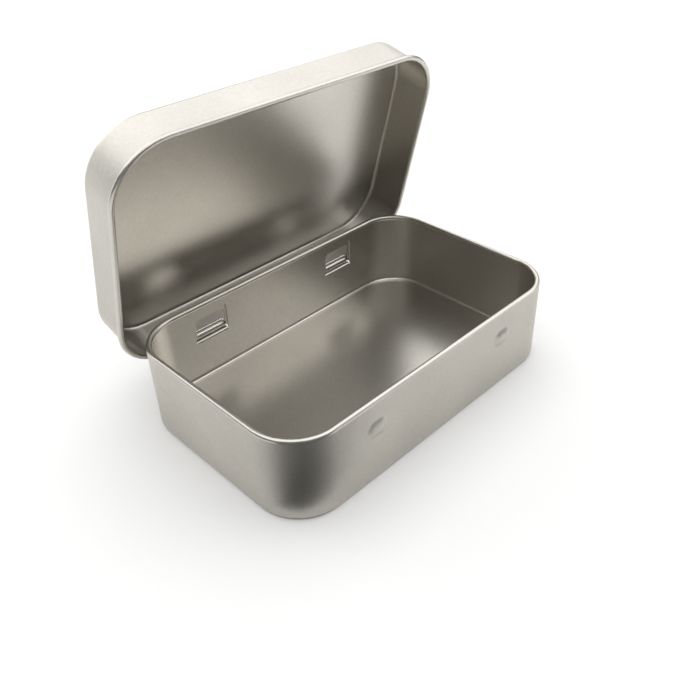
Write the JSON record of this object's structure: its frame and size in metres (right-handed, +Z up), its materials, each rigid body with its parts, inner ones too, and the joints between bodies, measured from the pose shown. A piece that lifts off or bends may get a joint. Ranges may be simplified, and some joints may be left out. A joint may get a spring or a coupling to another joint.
{
  "type": "hinged tin",
  "caption": "Shallow rectangular mint tin with rounded corners, standing open on its base, its lid hinged on two tongues curled from the rear wall.",
  "frame": {"origin": "centre of the base's flat underside", "axes": "+X along the tin's length, +Y towards the hinge at the rear, +Z up"},
  "size_m": [0.0996, 0.0725, 0.0757],
  "materials": {
    "tinplate_base": "bare tinplate, satin",
    "tinplate_lid": "bare tinplate, satin"
  },
  "bodies": {
    "tray": {"base": "tinplate_base"},
    "cover": {"lid": "tinplate_lid"}
  },
  "joints": [
    {"name": "lid_hinge", "type": "hinge", "parent": "tray", "child": "cover", "pos_m": [0, 0.0314, 0.0123], "axis": [-1, 0, 0], "range_deg": [-75, 30]}
  ]
}
